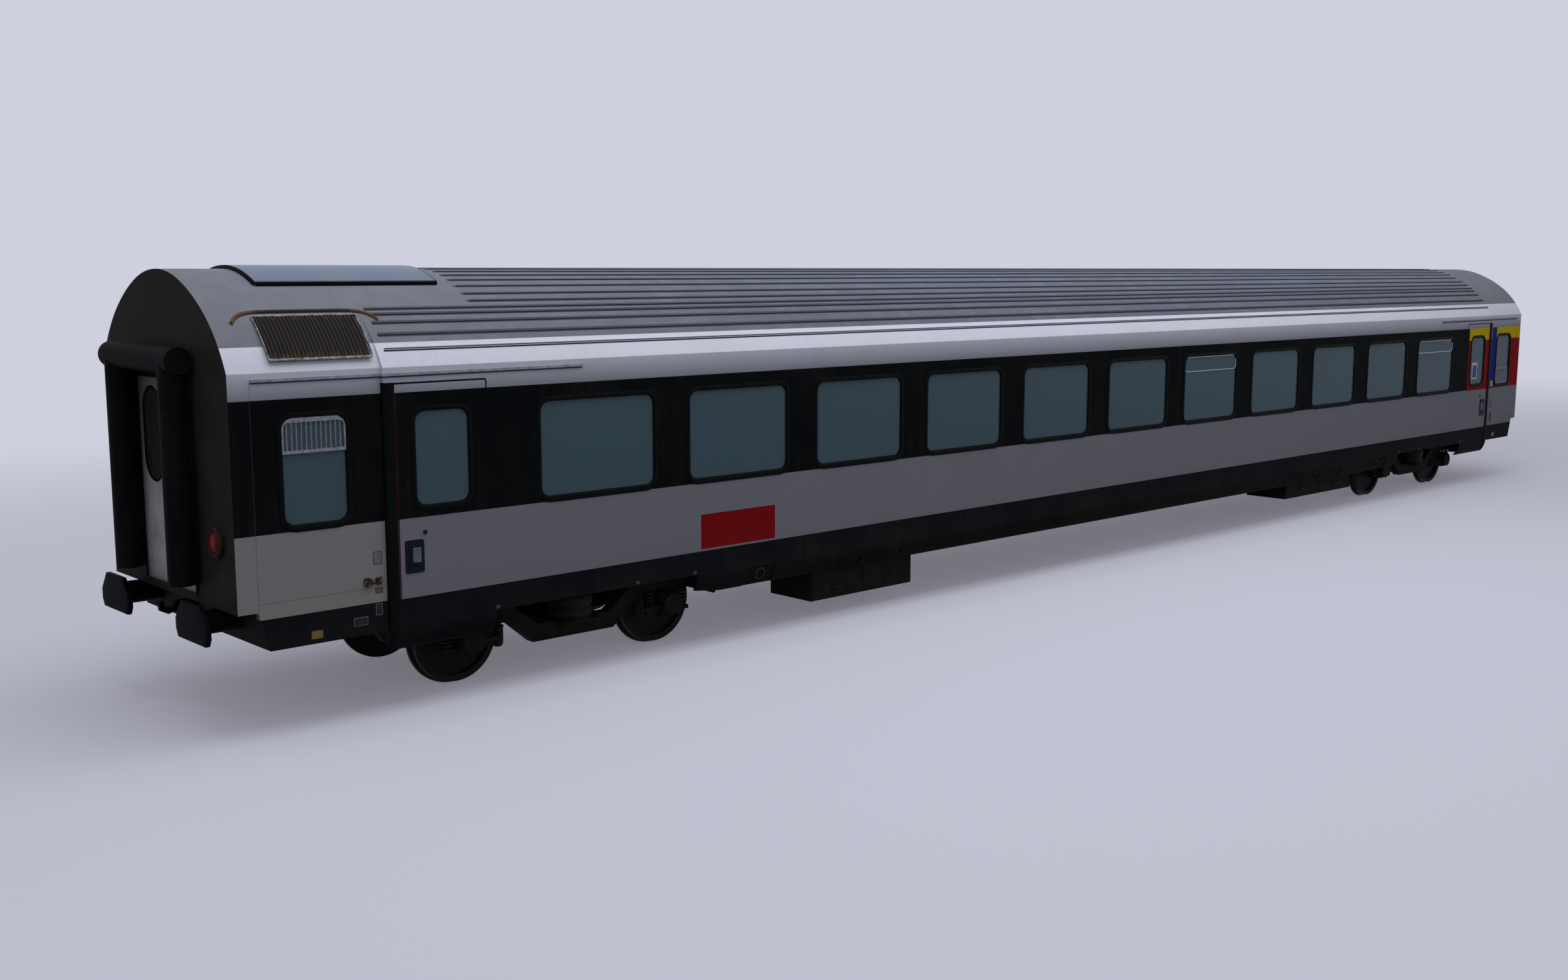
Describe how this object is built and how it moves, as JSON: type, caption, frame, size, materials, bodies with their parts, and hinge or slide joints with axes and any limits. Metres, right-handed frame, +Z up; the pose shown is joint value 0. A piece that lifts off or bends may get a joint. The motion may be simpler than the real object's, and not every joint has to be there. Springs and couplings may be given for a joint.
{
  "type": "railway passenger coach",
  "caption": "Long hollow railway passenger coach on two pivoting bogies, with corner entry doors, rubber gangways, sliding end doors and buffers at both ends.",
  "frame": {"origin": "middle of the coach at the level of the wheel flanges' tips, 28 mm below the rail head", "axes": "+X along the coach towards the far end, +Y to its left, +Z up"},
  "size_m": [26.942, 2.857, 4.1126],
  "materials": {
    "body_paint": "satin",
    "door_leaf_paint": "satin",
    "floor_cover": "matt",
    "frame_paint": "matt",
    "glass": "clear",
    "gutter_paint": "satin",
    "hatch_paint": "satin",
    "lamp_red": "gloss",
    "lining": "matt",
    "louvre_paint": "weathered",
    "roof_paint": "satin",
    "rubber": "matt",
    "seat_fabric": "woven",
    "skirt_paint": "satin",
    "spring_steel": "painted",
    "steel": "worn"
  },
  "bodies": {
    "carbody": {"air_tanks": "frame_paint", "buffers": "frame_paint", "ceiling": "lining", "door_gutters": "gutter_paint", "drawhooks": "frame_paint", "end_door_tracks": "frame_paint", "end_wall_far": "body_paint", "end_wall_near": "body_paint", "entry_door_far_left": "body_paint", "entry_door_far_right": "body_paint", "entry_door_glass": "glass", "entry_door_near_left": "body_paint", "entry_door_near_right": "body_paint", "entry_steps": "frame_paint", "floor": "floor_cover", "gangway_far": "rubber", "gangway_near": "rubber", "luggage_racks": "lining", "partitions": "body_paint", "roof": "roof_paint", "roof_hatch": "hatch_paint", "roof_louvre": "louvre_paint", "seats_left": "seat_fabric", "seats_right": "seat_fabric", "side_wall_left": "body_paint", "side_wall_right": "body_paint", "skirt_left": "skirt_paint", "skirt_right": "skirt_paint", "tail_lamps": "lamp_red", "underfloor_boxes": "frame_paint", "underframe": "frame_paint", "window_panes_left": "glass", "window_panes_right": "glass"},
    "bogie_near": {"air_springs_near": "rubber", "axle_boxes_near": "frame_paint", "bogie_frame_near": "frame_paint", "brake_units_near": "frame_paint", "primary_springs_near": "spring_steel"},
    "bogie_far": {"air_springs_far": "rubber", "axle_boxes_far": "frame_paint", "bogie_frame_far": "frame_paint", "brake_units_far": "frame_paint", "primary_springs_far": "spring_steel"},
    "end_door_near_left": {"end_door_glass_near_left": "glass", "end_door_near_left": "door_leaf_paint"},
    "end_door_near_right": {"end_door_glass_near_right": "glass", "end_door_near_right": "door_leaf_paint"},
    "end_door_far_left": {"end_door_far_left": "door_leaf_paint", "end_door_glass_far_left": "glass"},
    "end_door_far_right": {"end_door_far_right": "door_leaf_paint", "end_door_glass_far_right": "glass"},
    "wheelset_1": {"wheelset_1": "steel"},
    "wheelset_2": {"wheelset_2": "steel"},
    "wheelset_3": {"wheelset_3": "steel"},
    "wheelset_4": {"wheelset_4": "steel"}
  },
  "joints": [
    {"name": "bogie_near_yaw", "type": "hinge", "parent": "carbody", "child": "bogie_near", "pos_m": [-9.5, 0, 0.478], "axis": [0, 0, 1], "range_deg": [-4, 4]},
    {"name": "bogie_far_yaw", "type": "hinge", "parent": "carbody", "child": "bogie_far", "pos_m": [9.5, 0, 0.478], "axis": [0, 0, 1], "range_deg": [-4, 4]},
    {"name": "wheelset_1_spin", "type": "hinge", "parent": "bogie_near", "child": "wheelset_1", "pos_m": [-10.75, 0, 0.488], "axis": [0, 1, 0], "continuous": true},
    {"name": "wheelset_2_spin", "type": "hinge", "parent": "bogie_near", "child": "wheelset_2", "pos_m": [-8.25, 0, 0.488], "axis": [0, 1, 0], "continuous": true},
    {"name": "wheelset_3_spin", "type": "hinge", "parent": "bogie_far", "child": "wheelset_3", "pos_m": [8.25, 0, 0.488], "axis": [0, 1, 0], "continuous": true},
    {"name": "wheelset_4_spin", "type": "hinge", "parent": "bogie_far", "child": "wheelset_4", "pos_m": [10.75, 0, 0.488], "axis": [0, 1, 0], "continuous": true},
    {"name": "end_door_near_left_slide", "type": "slide", "parent": "carbody", "child": "end_door_near_left", "axis": [0, 1, 0], "range_m": [0, 0.55]},
    {"name": "end_door_near_right_slide", "type": "slide", "parent": "carbody", "child": "end_door_near_right", "axis": [0, -1, 0], "range_m": [0, 0.55]},
    {"name": "end_door_far_left_slide", "type": "slide", "parent": "carbody", "child": "end_door_far_left", "axis": [0, 1, 0], "range_m": [0, 0.55]},
    {"name": "end_door_far_right_slide", "type": "slide", "parent": "carbody", "child": "end_door_far_right", "axis": [0, -1, 0], "range_m": [0, 0.55]}
  ]
}
